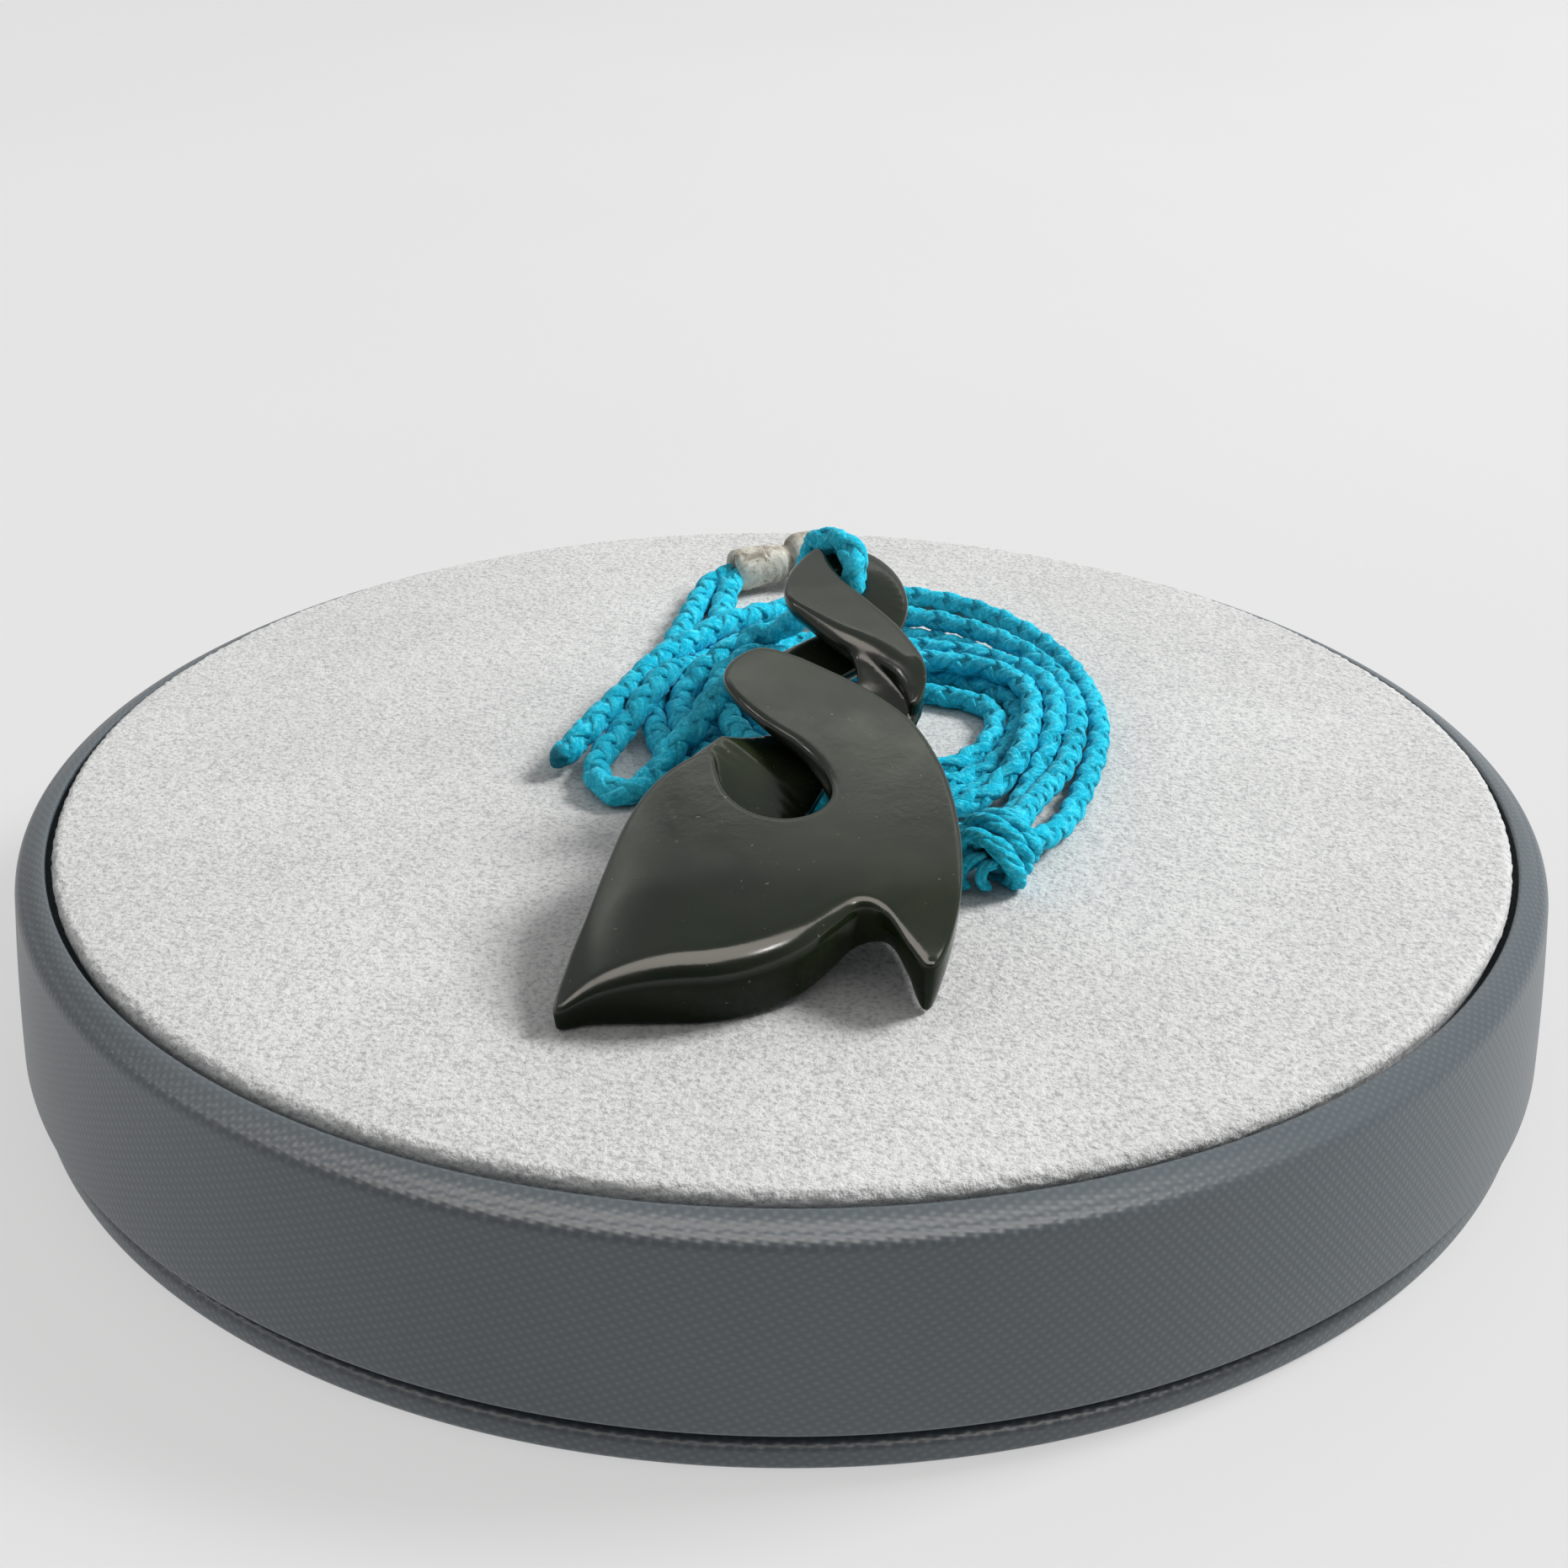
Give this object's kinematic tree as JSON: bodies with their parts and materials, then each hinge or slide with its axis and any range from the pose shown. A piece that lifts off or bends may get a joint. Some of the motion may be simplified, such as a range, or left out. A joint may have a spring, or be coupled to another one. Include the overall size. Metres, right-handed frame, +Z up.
{
  "type": "jade twist pendant on a cord, on a round padded display stand",
  "caption": "Carved green stone twist pendant on a coiled braided cord with a bone toggle, laid on a round suede-topped display stand.",
  "frame": {"origin": "middle of the stand's underside", "axes": "+Z up, +Y from the pendant's tail towards its top opening, within five degrees"},
  "size_m": [0.152, 0.152, 0.0444],
  "materials": {
    "leatherette": "fine diagonal weave, satin",
    "suede": "soft nap, matte",
    "jade": "polished, dark green with fine pale specks",
    "bone": "mottled, matte",
    "cord": "waxed braid"
  },
  "bodies": {
    "root": {"stand_flange": "leatherette", "stand_rim": "leatherette", "suede_pad": "suede", "twist_pendant": "jade", "bone_toggle": "bone", "ball_knot": "cord", "cord_coil": "cord", "cord_arch": "cord", "cord_toggle_lead": "cord", "cord_toggle_return": "cord", "cord_tail": "cord", "cord_loop": "cord", "cord_to_knot": "cord", "cord_from_knot": "cord"}
  },
  "joints": []
}
